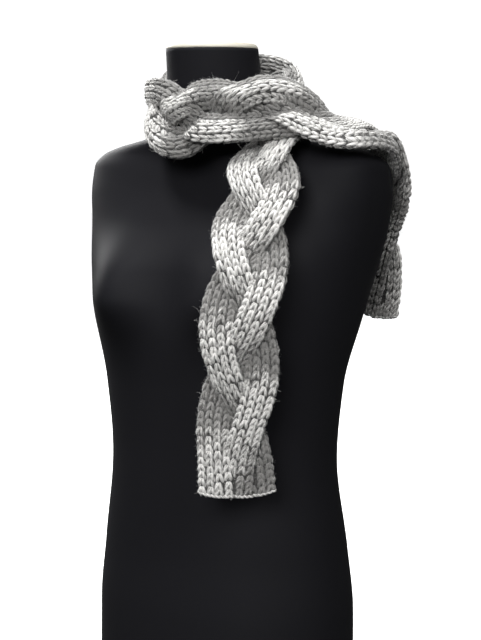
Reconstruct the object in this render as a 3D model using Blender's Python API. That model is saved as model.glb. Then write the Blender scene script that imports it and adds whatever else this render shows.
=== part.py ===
"""Knit scarf wound once round the neck of a limbless dress form.

The scarf is one long strip of knit worked as a braid of three ribbed strands.  It starts at the front
hem, rises over the form's left breast, goes round the back of the neck, crosses the throat, passes
over the left shoulder on top of itself and hangs down the back.  Each stretch is its own solid.

Metres, +Z up.  The origin is the middle of the flat base.  The form faces -Y, and its left is +X.
"""
import bpy
import numpy as np

# ---- dress form ----
# One row for each level of the torso, read up from the base.
FORM_COLUMNS = ("height", "half_width", "front_depth", "back_depth", "centre_y", "squareness")
FORM_ROWS = np.array((
    (0.000, 0.168, 0.111, 0.123, 0.000, 2.30),    # base
    (0.080, 0.168, 0.111, 0.126, 0.000, 2.25),    # hips
    (0.160, 0.161, 0.108, 0.120, 0.000, 2.20),
    (0.270, 0.149, 0.108, 0.107, 0.000, 2.15),    # waist
    (0.360, 0.156, 0.113, 0.111, 0.001, 2.20),
    (0.440, 0.173, 0.124, 0.125, 0.008, 2.30),    # under the bust
    (0.500, 0.186, 0.121, 0.134, 0.016, 2.40),
    (0.560, 0.199, 0.102, 0.120, 0.025, 2.60),
    (0.601, 0.204, 0.086, 0.103, 0.027, 2.80),    # widest, at the arm ends
    (0.624, 0.203, 0.077, 0.091, 0.027, 2.80),
    (0.638, 0.190, 0.071, 0.081, 0.025, 2.60),    # shoulder tips
    (0.648, 0.158, 0.067, 0.074, 0.018, 2.40),
    (0.657, 0.112, 0.062, 0.067, 0.006, 2.15),    # shoulder slope
    (0.672, 0.076, 0.058, 0.062, -0.006, 2.00),
    (0.700, 0.060, 0.056, 0.058, -0.014, 2.00),   # foot of the neck
    (0.768, 0.056, 0.055, 0.055, -0.024, 2.00),   # top of the neck
))
FORM = dict(zip(FORM_COLUMNS, FORM_ROWS.T))
FORM_HEIGHT = 0.771
BASE_EDGE = 0.004        # radius of the edge round the flat base
NECK_EDGE = 0.006        # radius of the edge round the top of the neck
BUST_X = 0.086           # breast points either side of the middle
BUST_HEIGHT = 0.468
BUST_OUT = 0.036         # how far each breast stands out of the torso
BUST_SPREAD = 0.052      # reach of a breast sideways, then upwards and downwards
BUST_RISE = 0.062
BUST_DROP = 0.042
CHEST_HEIGHT = 0.560     # above it the rings lie closer, for the shoulders
NECK_FOOT = 0.700        # above it they lie wide apart again
BODY_RINGS = 18
SHOULDER_RINGS = 12
NECK_RINGS = 4
NECK_EDGE_TURNS = (30, 60, 90)   # rings round the neck's top edge, degrees
FORM_SIDES = 48
SLOPE_NUDGE = 0.0002     # step at which the torso's slope is measured
LEAST_SLOPE = 0.3        # keeps that distance sound where the torso's formula is flat

# ---- scarf ----
# One row for each place that the strip passes: its middle, the way its outer face looks (bearing 0 is
# -Y and 90 is +X; tilt 0 is level and 90 is up, in degrees) and how much of the full width it keeps.
SCARF_COLUMNS = ("x", "y", "z", "bearing", "tilt", "spread")
SCARF_ROUTE = np.array((
    (0.115, -0.138, 0.252, 26, 0, 1.09),          # front hem
    (0.116, -0.140, 0.310, 26, 0, 1.04),
    (0.119, -0.143, 0.370, 26, 0, 1.06),
    (0.126, -0.147, 0.430, 26, 0, 1.08),
    (0.129, -0.144, 0.490, 24, 12, 1.09),         # over the left breast
    (0.127, -0.124, 0.550, 18, 20, 1.09),
    (0.121, -0.096, 0.610, 10, 28, 1.08),
    (0.110, -0.060, 0.648, 6, 50, 0.88),
    (0.099, -0.010, 0.669, 30, 74, 0.78),         # left shoulder, under the throat band
    (0.082, 0.044, 0.697, 122, 46, 0.84),
    (0.048, 0.076, 0.717, 158, 18, 0.94),
    (-0.005, 0.078, 0.720, 185, 8, 0.98),         # back of the neck
    (-0.053, 0.050, 0.714, 225, 4, 0.92),
    (-0.073, 0.001, 0.707, 270, 0, 0.86),         # right side of the neck
    (-0.065, -0.042, 0.697, 310, -6, 0.88),
    (-0.035, -0.078, 0.687, 338, 2, 0.96),
    (0.010, -0.099, 0.679, 358, 8, 1.06),         # throat
    (0.058, -0.104, 0.689, 14, 11, 1.03),
    (0.106, -0.085, 0.698, 34, 20, 1.00),
    (0.143, -0.051, 0.686, 45, 31, 1.04),
    (0.164, 0.003, 0.654, 66, 44, 1.04),          # left shoulder, over the first pass
    (0.168, 0.056, 0.637, 106, 50, 1.01),
    (0.154, 0.104, 0.608, 148, 36, 1.00),
    (0.134, 0.140, 0.572, 170, 12, 1.00),         # shoulder blade
    (0.128, 0.148, 0.505, 172, 0, 1.00),
    (0.118, 0.146, 0.438, 170, 0, 1.02),          # back hem
))
# Cuts between the stretches, as distances along the strip from the front hem.
STRETCHES = (
    ("scarf_front_tail", 0.000, 0.460),
    ("scarf_neck_back", 0.460, 0.785),
    ("scarf_throat_band", 0.785, 1.205),
    ("scarf_back_tail", 1.205, None),
)
SEAM_GAP = 0.0004
STRANDS = 3
STRAND_HALF_WIDTH = 0.0195
STRAND_CROWN = 0.0065    # how far a strand bulges out of its own middle
STRAND_SWING = 0.027     # how far a strand swings either side of the middle
STRAND_LIFT = 0.006      # how far it rises over, and dips under, its neighbours
STRAND_RISE = 0.002      # how far the middles of the strands stand out of the cloth's middle
BRAID_REPEAT = 0.343     # length in which one strand comes back to its place
BRAID_START = -1.03      # where in that repeat the front hem lies, radians
# How far the braid runs ahead of its even repeat: distance along the strip, then the lead in repeats.
BRAID_LEAD = np.array((
    (0.00, 0.00),
    (0.15, 0.00),
    (0.30, 0.00),
    (0.38, 0.06),
    (0.46, 0.10),            # top of the front tail
    (0.56, 0.05),
    (0.68, 0.00),
    (0.76, 0.05),
    (0.84, 0.13),
    (0.90, 0.18),
    (0.95, 0.19),            # throat
    (1.00, 0.19),
    (1.04, 0.18),
    (1.09, 0.14),
    (1.15, 0.08),
    (1.22, 0.03),
    (1.32, 0.00),
    (1.50, 0.00),
))
# The throat band is rumpled into two rolls that run along it, with a fold between them.
ROLL_DEPTH = 0.017       # depth of the fold, and of the band's upper edge
ROLL_FROM = 0.860        # where the rolls begin and end along the strip
ROLL_TO = 1.075
ROLL_EASE = 0.025        # length over which they begin and end
ROLL_CENTRE = 0.08       # place of the fold across the cloth, from -1 to 1 downwards
ROLL_UNDER = 0.25        # share of the depth that the lower edge keeps
ROUTE_SAMPLES = 1500
HEM_PLAIN = 0.050        # length at each hem where the strands run straight
RIBS_PER_STRAND = 4
RIB_HEIGHT = 0.0011
PLAIN_SIDE = 0.0064      # depth of the plain inside below the middle of the cloth
EDGE_HALF = 0.0013       # half the thickness at the selvedge
SECTION_STEP = 0.012     # between the sections of a solid
FINE_STEP = 0.004        # between the steps at which the strip is draped
POINTS_ACROSS = 33
EDGE_CROWDING = 0.3      # how much the points across crowd towards the edges
INNER_STEP = 4           # the plain side keeps every fourth point across
SECTION_POINTS = POINTS_ACROSS + (POINTS_ACROSS - 1) // INNER_STEP + 1
FORM_CLEARANCE = 0.0105  # least distance from the form to the middle of the cloth
EDGE_CLEARANCE = 0.0068  # the same at the thin selvedge
EDGE_EASE = 6            # how late across the cloth the one gives way to the other
DRAPE_ROUNDS = 40
SHIFT_SOFTENING = 7      # rounds of averaging in each round of draping, both ways
FACE_SOFTENING_ALONG = 16   # rounds of averaging of the way the cloth faces
FACE_SOFTENING_ACROSS = 8

# ---- materials ----
COVER_COLOUR = (0.012, 0.012, 0.014)
COVER_ROUGHNESS = 0.8
YARN_COLOUR = (0.56, 0.55, 0.53)
YARN_ROUGHNESS = 0.92


def monotone_slopes(x, y):
    """Slopes at the rows of a table for a curve that never overshoots between them."""
    run = np.diff(x)[:, None]
    rise = np.diff(y, axis=0) / run
    weight_low = 2 * run[1:] + run[:-1]
    weight_high = run[1:] + 2 * run[:-1]
    same_way = rise[1:] * rise[:-1] > 0
    below = np.where(same_way, rise[:-1], 1)
    above = np.where(same_way, rise[1:], 1)
    middle = (weight_low + weight_high) / (weight_low / below + weight_high / above)
    return np.vstack((rise[:1], np.where(same_way, middle, 0), rise[-1:]))


FORM_SLOPES = monotone_slopes(FORM["height"], FORM_ROWS[:, 1:])


def form_sizes(height):
    """Half width, front and back depth, centre and squareness of the torso at each height."""
    levels = FORM["height"]
    sizes = FORM_ROWS[:, 1:]
    height = np.clip(height, levels[0], levels[-1])
    row = np.clip(np.searchsorted(levels, height, side="right") - 1, 0, len(levels) - 2)
    step = levels[row + 1] - levels[row]
    t = ((height - levels[row]) / step)[..., None]
    step = step[..., None]
    low = (2 * t**3 - 3 * t**2 + 1) * sizes[row] + (t**3 - 2 * t**2 + t) * step * FORM_SLOPES[row]
    high = (3 * t**2 - 2 * t**3) * sizes[row + 1] + (t**3 - t**2) * step * FORM_SLOPES[row + 1]
    return np.moveaxis(low + high, -1, 0)


def bust_out(x, height, half_width, squareness):
    """How far the breasts stand out of the torso: two soft mounds that fade at the sides."""
    rise = height - BUST_HEIGHT
    reach = np.where(rise > 0, BUST_RISE, BUST_DROP)
    mound = np.exp(-((np.abs(x) - BUST_X) / BUST_SPREAD)**2 - (rise / reach)**2)
    fade = np.sqrt(np.clip(1 - np.abs(x / half_width)**squareness, 0, 1))
    return BUST_OUT * mound * fade


def form_points(angle, height):
    """Points of the torso: a superellipse at each height, angle 0 at the front and 90 at +X."""
    half_width, front, back, centre, squareness = form_sizes(height)
    across = np.sin(angle)
    along = np.cos(angle)
    x = half_width * np.sign(across) * np.abs(across)**(2 / squareness)
    depth = np.where(along > 0, front, back)
    y = centre - depth * np.sign(along) * np.abs(along)**(2 / squareness)
    y = np.where(along > 0, y - bust_out(x, height, half_width, squareness), y)
    return np.stack((x, y, height + 0 * x), axis=-1)


def form_level_set(points):
    """Rough signed distance of points from the torso, negative inside."""
    x = points[..., 0]
    height = points[..., 2]
    half_width, front, back, centre, squareness = form_sizes(height)
    y = points[..., 1]
    y = np.where(y < centre, y + bust_out(x, height, half_width, squareness), y)
    depth = np.where(y < centre, front, back)
    across = np.abs(x / half_width)**squareness
    along = np.abs((y - centre) / depth)**squareness
    radius = (across + along)**(1 / squareness)
    return np.maximum((radius - 1) * np.minimum(half_width, depth), height - FORM_HEIGHT)


def form_gap(points):
    """Distance of points from the torso and the direction away from it."""
    nudges = SLOPE_NUDGE * np.eye(3)
    rises = [form_level_set(points + nudge) - form_level_set(points - nudge) for nudge in nudges]
    slope = np.stack(rises, axis=-1) / (2 * SLOPE_NUDGE)
    steepness = np.maximum(np.linalg.norm(slope, axis=-1), LEAST_SLOPE)
    return form_level_set(points) / steepness, slope / steepness[..., None]


def smooth_curve(x, rows, at):
    """Natural cubic curve through the rows of a table, read at the given distances."""
    count = len(x)
    step = np.diff(x)
    matrix = np.eye(count)
    bend = np.zeros_like(rows)
    for i in range(1, count - 1):
        matrix[i, i - 1:i + 2] = (step[i - 1], 2 * (step[i - 1] + step[i]), step[i])
        bend[i] = 6 * ((rows[i + 1] - rows[i]) / step[i] - (rows[i] - rows[i - 1]) / step[i - 1])
    curvature = np.linalg.solve(matrix, bend)
    i = np.clip(np.searchsorted(x, at, side="right") - 1, 0, count - 2)
    span = step[i][:, None]
    left = ((x[i + 1] - at) / step[i])[:, None]
    right = 1 - left
    arc = ((left**3 - left) * curvature[i] + (right**3 - right) * curvature[i + 1]) * span**2 / 6
    return left * rows[i] + right * rows[i + 1] + arc


def unit(vectors):
    """Vectors scaled to length 1."""
    return vectors / np.linalg.norm(vectors, axis=-1)[..., None]


def running_length(points):
    """Distance of each point from the first, measured along the line through them."""
    steps = np.linalg.norm(np.diff(points, axis=0), axis=1)
    return np.concatenate(((0,), np.cumsum(steps)))


def scarf_route():
    """The strip's route as fine steps: distances, middles, side directions and spreads."""
    rows = SCARF_ROUTE.copy()
    turning = SCARF_COLUMNS.index("bearing")
    rows[:, turning] = np.degrees(np.unwrap(np.radians(rows[:, turning])))
    chord = running_length(rows[:, :3])
    samples = np.linspace(0, chord[-1], ROUTE_SAMPLES)
    fine = dict(zip(SCARF_COLUMNS, smooth_curve(chord, rows, samples).T))
    middle = np.stack((fine["x"], fine["y"], fine["z"]), axis=-1)
    distance = running_length(middle)
    forward = unit(np.gradient(middle, distance, axis=0))
    bearing = np.radians(fine["bearing"])
    tilt = np.radians(fine["tilt"])
    level = np.cos(tilt)
    face = np.stack((np.sin(bearing) * level, -np.cos(bearing) * level, np.sin(tilt)), axis=-1)
    return distance, middle, unit(np.cross(forward, face)), fine["spread"]


def braid_turn(distance, length):
    """The braid's phase along the strip, held still over the plain length at each hem."""
    ease = HEM_PLAIN / 2
    start = np.log1p(np.exp((distance - HEM_PLAIN) / ease)) * ease
    past_end = np.log1p(np.exp((distance - length + HEM_PLAIN) / ease)) * ease
    lead = smooth_curve(BRAID_LEAD[:, 0], BRAID_LEAD[:, 1:], distance)[:, 0]
    return 2 * np.pi * ((start - past_end + HEM_PLAIN) / BRAID_REPEAT + lead) + BRAID_START


def strand_places(distance, length):
    """Side offset and height of each strand: over from the middle to an edge, under on the way back."""
    turn = braid_turn(distance, length)[..., None] + 2 * np.pi * np.arange(STRANDS) / STRANDS
    return STRAND_SWING * np.sin(turn), STRAND_RISE + STRAND_LIFT * np.sin(2 * turn)


def braid_heights(offset, places, lifts):
    """Top of the braid over the middle of the cloth: the highest ribbed strand at each offset."""
    across = (offset[..., None] - places[:, None]) / STRAND_HALF_WIDTH
    crown = np.sqrt(np.clip(1 - across**2, 0, 1))
    ribs = np.abs(np.sin(across * np.pi * RIBS_PER_STRAND / 2)) - 0.5
    tops = lifts[:, None] + STRAND_CROWN * crown + RIB_HEIGHT * ribs * np.sqrt(crown)
    return np.where(np.abs(across) <= 1, tops, -STRAND_LIFT).max(axis=-1)


def roll_depth(distance, across):
    """How deep the cloth is folded: none at the crests of the band's two rolls, and none off the band."""
    window = np.tanh((distance - ROLL_FROM) / ROLL_EASE) - np.tanh((distance - ROLL_TO) / ROLL_EASE)
    off_centre = across - ROLL_CENTRE
    lower_crest = 0.5
    share = np.where(off_centre > lower_crest, ROLL_UNDER, 1)
    return ROLL_DEPTH / 2 * window[:, None] * share * np.cos(np.pi * off_centre)**2


def soften(grid, rounds, axis):
    """Averages each value with its neighbours along one axis; an end counts as its own neighbour."""
    grid = np.moveaxis(grid, axis, 0)
    for _ in range(rounds):
        below = np.concatenate((grid[:1], grid[:-1]))
        above = np.concatenate((grid[1:], grid[-1:]))
        grid = 0.5 * grid + 0.25 * (below + above)
    return np.moveaxis(grid, 0, axis)


def push_clear(grid, clearance):
    """The move that takes each point of the cloth's middle out to its clearance from the form."""
    gap, away = form_gap(grid)
    return np.clip(clearance - gap, 0, None)[..., None] * away


def drape(grid, across):
    """Moves the middle of the cloth clear of the form.

    Each round adds the move that is still needed and shares the whole of it with the points around, so
    neighbours move together and the cloth bends softly instead of bunching up.
    """
    clearance = FORM_CLEARANCE + (EDGE_CLEARANCE - FORM_CLEARANCE) * across**EDGE_EASE
    shift = np.zeros_like(grid)
    for _ in range(DRAPE_ROUNDS):
        shift = shift + push_clear(grid + shift, clearance)
        shift = soften(soften(shift, SHIFT_SOFTENING, 0), SHIFT_SOFTENING, 1)
    return grid + shift + push_clear(grid + shift, clearance)


def scarf_outlines():
    """Closed outline of the scarf's wall at fine even steps, and the distance of each."""
    distance, middle, side, spread = scarf_route()
    length = distance[-1]
    at = np.linspace(0, length, int(round(length / FINE_STEP)) + 1)
    middle = np.stack([np.interp(at, distance, middle[:, i]) for i in range(3)], axis=-1)
    side = unit(np.stack([np.interp(at, distance, side[:, i]) for i in range(3)], axis=-1))
    spread = np.interp(at, distance, spread)
    places, lifts = strand_places(at, length)
    left = (places - STRAND_HALF_WIDTH).min(axis=1)[:, None]
    right = (places + STRAND_HALF_WIDTH).max(axis=1)[:, None]
    even = np.linspace(-1, 1, POINTS_ACROSS)
    across = EDGE_CROWDING * np.sin(even * np.pi / 2) + (1 - EDGE_CROWDING) * even
    offset = (left + right) / 2 + across * (right - left) / 2
    flat = drape(middle[:, None] + side[:, None] * (offset * spread[:, None])[..., None], across)
    face = unit(np.cross(np.gradient(flat, axis=1), np.gradient(flat, axis=0)))
    face = unit(soften(soften(face, FACE_SOFTENING_ALONG, 0), FACE_SOFTENING_ACROSS, 1))
    cloth = drape(flat - face * roll_depth(at, across)[..., None], across)
    row = np.arange(len(at))
    edges = lifts[row, places.argmin(axis=1)], lifts[row, places.argmax(axis=1)]
    tops = braid_heights(offset, places, lifts)
    bottoms = np.full(tops.shape, -PLAIN_SIDE)
    for column, edge in zip((0, -1), edges):
        tops[:, column] = edge + EDGE_HALF
        bottoms[:, column] = edge - EDGE_HALF
    outer = cloth + face * tops[..., None]
    inner = (cloth + face * bottoms[..., None])[:, ::INNER_STEP]
    return at, np.concatenate((outer, inner[:, ::-1]), axis=1)


def stretch_sections(at, outlines, start, end):
    """The outlines of one stretch, with half the seam gap taken off at each cut."""
    first = start + SEAM_GAP / 2 if start else start
    last = end - SEAM_GAP / 2 if end else at[-1]
    wanted = np.linspace(first, last, int(round((last - first) / SECTION_STEP)) + 1) / at[1]
    low = np.minimum(wanted.astype(int), len(at) - 2)
    share = (wanted - low)[:, None, None]
    return outlines[low] * (1 - share) + outlines[low + 1] * share


def loft_faces(sections, points):
    """Quads between neighbouring closed outlines."""
    index = np.arange(sections * points).reshape(sections, points)
    here = index[:-1]
    ahead = index[1:]
    quads = np.stack((here, np.roll(here, -1, 1), np.roll(ahead, -1, 1), ahead), axis=-1)
    return quads.reshape(-1, 4).tolist()


def ring_cap(points):
    """One flat face over a ring."""
    return [list(range(points))]


def wall_cap():
    """Triangles over the end of the scarf's wall, fanned from each point of its plain side."""
    triangles = []
    for first in range(0, POINTS_ACROSS - 1, INNER_STEP):
        inner = SECTION_POINTS - 1 - first // INNER_STEP
        outer = range(first, first + INNER_STEP)
        triangles += [[inner, near, near + 1] for near in outer]
        triangles.append([inner, first + INNER_STEP, inner - 1])
    return triangles


def add_piece(name, sections, cap, material):
    """Adds one lofted solid to the collection, closed at both ends with the same cap."""
    last = (len(sections) - 1) * sections.shape[1]
    faces = loft_faces(*sections.shape[:2])
    faces += [face[::-1] for face in cap]
    faces += [[point + last for point in face] for face in cap]
    mesh = bpy.data.meshes.new(name)
    mesh.from_pydata(sections.reshape(-1, 3).tolist(), [], faces)
    mesh.materials.append(material)
    mesh.shade_smooth()
    piece = bpy.data.objects.new(name, mesh)
    COLLECTION.objects.link(piece)
    return piece


def principled(name, colour, roughness):
    """A plain cloth material with its colour and roughness."""
    material = bpy.data.materials.new(name)
    material.use_nodes = True
    shader = material.node_tree.nodes["Principled BSDF"]
    shader.inputs["Base Color"].default_value = (*colour, 1)
    shader.inputs["Roughness"].default_value = roughness
    shader.inputs["Metallic"].default_value = 0
    return material


def form_sections():
    """Rings of the torso from the flat base to the flat top of the neck, with rounded edges."""
    levels = np.concatenate((
        np.linspace(BASE_EDGE, CHEST_HEIGHT, BODY_RINGS, endpoint=False),
        np.linspace(CHEST_HEIGHT, NECK_FOOT, SHOULDER_RINGS, endpoint=False),
        np.linspace(NECK_FOOT, FORM_HEIGHT - NECK_EDGE, NECK_RINGS)))
    angles = np.arange(FORM_SIDES) * 2 * np.pi / FORM_SIDES
    angle, level = np.meshgrid(angles, levels)
    rings = form_points(angle, level)
    base = form_points(angles, np.zeros(FORM_SIDES))
    base[:, :2] *= 1 - BASE_EDGE / FORM["half_width"][0]
    neck_middle = np.array((0, FORM["centre_y"][-1]))
    top_rings = []
    for turn in np.radians(NECK_EDGE_TURNS):
        ring = rings[-1].copy()
        shrink = 1 - NECK_EDGE / FORM["half_width"][-1] * (1 - np.cos(turn))
        ring[:, :2] = neck_middle + (ring[:, :2] - neck_middle) * shrink
        ring[:, 2] = FORM_HEIGHT - NECK_EDGE * (1 - np.sin(turn))
        top_rings.append(ring)
    return np.concatenate((base[None], rings, np.array(top_rings)))


for old in list(bpy.data.objects):
    bpy.data.objects.remove(old, do_unlink=True)

COLLECTION = bpy.data.collections.new("knit_scarf_on_dress_form")
bpy.context.scene.collection.children.link(COLLECTION)

FORM_COVER = principled("form_cover", COVER_COLOUR, COVER_ROUGHNESS)
GREY_YARN = principled("grey_yarn", YARN_COLOUR, YARN_ROUGHNESS)

add_piece("dress_form", form_sections(), ring_cap(FORM_SIDES), FORM_COVER)
step_distances, step_outlines = scarf_outlines()
for stretch_name, stretch_start, stretch_end in STRETCHES:
    sections = stretch_sections(step_distances, step_outlines, stretch_start, stretch_end)
    add_piece(stretch_name, sections, wall_cap(), GREY_YARN)
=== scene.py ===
"""Finish of a braided knit scarf on a limbless dress form, and the pale studio round them.

The scarf is a strip of three ribbed strands that cross over and under one another.  Each strand is a
closed core with the knit on both faces laid over it as single yarn legs, two to a stitch, and a halo of
loose fibres.  Everything on the scarf is worked out in the strip's own measures (along it, round a
strand's section and out from it) and placed in space at the end, so the knit follows every bend of it.

Metres, +Z up.  The form faces -Y, and its left is +X.
"""

import bpy
import numpy as np
from bpy.props import FloatProperty, FloatVectorProperty, IntProperty, PointerProperty
from bpy.types import Operator, Panel, PropertyGroup
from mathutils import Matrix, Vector


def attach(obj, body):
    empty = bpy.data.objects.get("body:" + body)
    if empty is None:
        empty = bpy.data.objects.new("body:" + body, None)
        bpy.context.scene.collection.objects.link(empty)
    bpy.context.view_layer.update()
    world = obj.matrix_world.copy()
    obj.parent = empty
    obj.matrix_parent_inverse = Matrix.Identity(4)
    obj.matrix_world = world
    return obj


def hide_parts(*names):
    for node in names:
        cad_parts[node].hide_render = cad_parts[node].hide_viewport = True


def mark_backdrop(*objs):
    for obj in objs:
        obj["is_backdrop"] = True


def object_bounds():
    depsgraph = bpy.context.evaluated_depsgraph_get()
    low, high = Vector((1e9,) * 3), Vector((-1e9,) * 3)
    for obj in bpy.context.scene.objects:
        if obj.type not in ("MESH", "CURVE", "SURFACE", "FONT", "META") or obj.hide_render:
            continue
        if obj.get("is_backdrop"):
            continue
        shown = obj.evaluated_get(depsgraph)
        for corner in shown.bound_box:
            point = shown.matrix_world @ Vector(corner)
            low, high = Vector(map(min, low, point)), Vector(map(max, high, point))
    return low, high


bl_info = {
    "name": "Knit Scarf on a Dress Form",
    "version": (1, 0, 0),
    "blender": (4, 5, 0),
    "location": "View3D > Sidebar > Knit Scarf",
    "description": "Knit finish of a braided scarf, the cover of its dress form and a pale studio",
    "category": "Add Mesh",
}

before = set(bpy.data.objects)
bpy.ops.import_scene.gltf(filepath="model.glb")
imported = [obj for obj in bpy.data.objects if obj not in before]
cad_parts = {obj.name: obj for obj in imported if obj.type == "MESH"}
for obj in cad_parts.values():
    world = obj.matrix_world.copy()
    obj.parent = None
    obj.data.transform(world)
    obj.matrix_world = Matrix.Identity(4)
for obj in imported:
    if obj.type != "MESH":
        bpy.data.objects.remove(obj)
CAD_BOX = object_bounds()

# ---- dress form: sizes of its outline at each height ----
FORM_COLUMNS = ("height", "half_width", "front_depth", "back_depth", "centre_y", "squareness")
FORM_ROWS = np.array((
    (0.000, 0.168, 0.111, 0.123, 0.000, 2.30),    # base
    (0.080, 0.168, 0.111, 0.126, 0.000, 2.25),    # hips
    (0.160, 0.161, 0.108, 0.120, 0.000, 2.20),
    (0.270, 0.149, 0.108, 0.107, 0.000, 2.15),    # waist
    (0.360, 0.156, 0.113, 0.111, 0.001, 2.20),
    (0.440, 0.173, 0.124, 0.125, 0.008, 2.30),    # under the bust
    (0.500, 0.186, 0.121, 0.134, 0.016, 2.40),
    (0.560, 0.199, 0.102, 0.120, 0.025, 2.60),
    (0.601, 0.204, 0.086, 0.103, 0.027, 2.80),    # widest, at the arm ends
    (0.624, 0.203, 0.077, 0.091, 0.027, 2.80),
    (0.638, 0.190, 0.071, 0.081, 0.025, 2.60),    # shoulder tips
    (0.648, 0.158, 0.067, 0.074, 0.018, 2.40),
    (0.657, 0.112, 0.062, 0.067, 0.006, 2.15),    # shoulder slope
    (0.672, 0.076, 0.058, 0.062, -0.006, 2.00),
    (0.700, 0.060, 0.056, 0.058, -0.014, 2.00),   # foot of the neck
    (0.768, 0.056, 0.055, 0.055, -0.024, 2.00),   # top of the neck
))
FORM = dict(zip(FORM_COLUMNS, FORM_ROWS.T))
FORM_HEIGHT = 0.771
BASE_EDGE = 0.004             # rounding of the base's rim and of the neck's
NECK_EDGE = 0.006
BUST_X = 0.086                # breasts: place of each, depth, and reach to the sides, up and down
BUST_HEIGHT = 0.468
BUST_OUT = 0.036
BUST_SPREAD = 0.052
BUST_RISE = 0.062
BUST_DROP = 0.042
FORM_LEVELS = 190             # rings up the side, points round each, and rings in a rounded rim
FORM_SIDES = 176
EDGE_RINGS = 6
SLOPE_NUDGE = 0.0002          # step that measures the level set's slope, and the least slope used
LEAST_SLOPE = 0.3

# ---- scarf: the strip's route and the shape of its strands ----
SCARF_COLUMNS = ("x", "y", "z", "bearing", "tilt", "spread")
SCARF_ROUTE = np.array((
    (0.115, -0.138, 0.252, 26, 0, 1.09),          # front hem
    (0.116, -0.140, 0.310, 26, 0, 1.04),
    (0.119, -0.143, 0.370, 26, 0, 1.06),
    (0.126, -0.147, 0.430, 26, 0, 1.08),
    (0.129, -0.144, 0.490, 24, 12, 1.09),         # over the left breast
    (0.127, -0.124, 0.550, 18, 20, 1.09),
    (0.121, -0.096, 0.610, 10, 28, 1.08),
    (0.110, -0.060, 0.648, 6, 50, 0.88),
    (0.099, -0.010, 0.669, 30, 74, 0.78),         # left shoulder, under the throat band
    (0.082, 0.044, 0.697, 122, 46, 0.84),
    (0.048, 0.076, 0.717, 158, 18, 0.94),
    (-0.005, 0.078, 0.720, 185, 8, 0.98),         # back of the neck
    (-0.053, 0.050, 0.714, 225, 4, 0.92),
    (-0.073, 0.001, 0.707, 270, 0, 0.86),         # right side of the neck
    (-0.065, -0.042, 0.697, 310, -6, 0.88),
    (-0.035, -0.078, 0.687, 338, 2, 0.96),
    (0.010, -0.099, 0.679, 358, 8, 1.06),         # throat
    (0.058, -0.104, 0.689, 14, 11, 1.03),
    (0.106, -0.085, 0.698, 34, 20, 1.00),
    (0.143, -0.051, 0.686, 45, 31, 1.04),
    (0.164, 0.003, 0.654, 66, 44, 1.04),          # left shoulder, over the first pass
    (0.168, 0.056, 0.637, 106, 50, 1.01),
    (0.154, 0.104, 0.608, 148, 36, 1.00),
    (0.134, 0.140, 0.572, 170, 12, 1.00),         # shoulder blade
    (0.128, 0.148, 0.505, 172, 0, 1.00),
    (0.118, 0.146, 0.438, 170, 0, 1.02),          # back hem
))
# Each stretch with its ends as distances along the strip, and its mean width laid flat.
STRETCHES = (
    ("front_tail", 0.000, 0.460, 0.0892),
    ("neck_back", 0.460, 0.785, 0.0749),
    ("throat_band", 0.785, 1.205, 0.0938),
    ("back_tail", 1.205, None, 0.0879),
)
# Where the yarn along the edge of each hem lies past the hem, and how it slants: bound off, cast on.
HEMS = {"front_tail": (-0.0004, -0.0026), "back_tail": (0.0004, 0.0018)}
STRANDS = 3
STRAND_HALF_WIDTH = 0.0213    # with its yarn
STRAND_HALF_THICKNESS = 0.0055
STRAND_SWING = 0.0252         # to each side, and over and under
STRAND_LIFT = 0.0066
STRAND_RISE = 0.0020          # the knit stands this much prouder on the outer side
BRAID_REPEAT = 0.343          # length of one repeat, and the turn at which it starts
BRAID_START = -1.03
# How far the braid runs ahead of its even repeat, in repeats, along the strip.
BRAID_LEAD = np.array((
    (0.00, 0.00), (0.15, 0.00), (0.30, 0.00), (0.38, 0.06),
    (0.46, 0.10), (0.56, 0.05), (0.68, 0.00),                   # top of the front tail, back of the neck
    (0.76, 0.05), (0.84, 0.13), (0.90, 0.18), (0.95, 0.19),     # right side of the neck, throat
    (1.00, 0.19), (1.04, 0.18), (1.09, 0.14), (1.15, 0.08),     # left shoulder
    (1.22, 0.03), (1.32, 0.00), (1.50, 0.00),
))
ROUTE_SAMPLES = 1500
HEM_PLAIN = 0.050             # length at each hem over which the strands hardly cross
FINE_STEP = 0.004             # step of the cloth's middle surface along it, and points across it
POINTS_ACROSS = 33
EDGE_CROWDING = 0.3           # how far those points crowd towards the edges, from 0 to 1
ROLL_DEPTH = 0.017            # how deep the band is folded between its two rolls and at its upper edge
ROLL_FROM = 0.860             # where the fold starts and ends along the strip, and how gently
ROLL_TO = 1.075
ROLL_EASE = 0.025
ROLL_CENTRE = 0.08            # where it lies across the strip, from -1 to 1
ROLL_UNDER = 0.25             # share of that depth at its lower edge
FORM_CLEARANCE = 0.0105       # gap from the form to the cloth's middle surface, inwards and at its edges
EDGE_CLEARANCE = 0.0068
EDGE_EASE = 6                 # power with which the first goes over into the second
DRAPE_ROUNDS = 40
SHIFT_SOFTENING = 7           # rounds of softening of the moves, and of the face's direction
FACE_SOFTENING_ALONG = 16
FACE_SOFTENING_ACROSS = 8

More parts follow.
